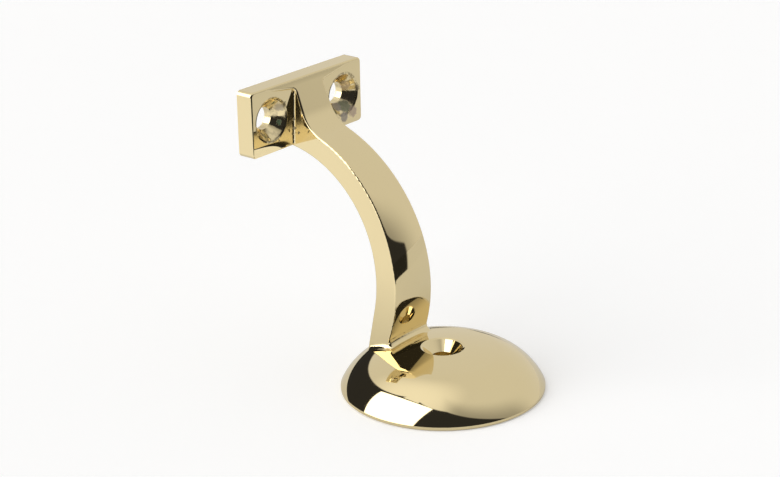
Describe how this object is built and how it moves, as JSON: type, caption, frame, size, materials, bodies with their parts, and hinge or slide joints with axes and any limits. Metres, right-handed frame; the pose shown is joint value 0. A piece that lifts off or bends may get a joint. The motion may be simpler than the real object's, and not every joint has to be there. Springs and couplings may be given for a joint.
{
  "type": "handrail bracket",
  "caption": "Polished cast brass handrail bracket: a domed round wall rose, a curved tapering arm and a flat rail plate with countersunk screw holes.",
  "frame": {"origin": "centre of the rose's back, on the axis of the wall-screw hole", "axes": "+Z along the rose axis and away from the wall, +Y the outward normal of the rail plate's seat, which is up in use, X along the rail"},
  "size_m": [0.05, 0.0714, 0.0718],
  "materials": {
    "polished_brass": "polished"
  },
  "bodies": {
    "root": {"bracket_casting": "polished_brass"}
  },
  "joints": []
}
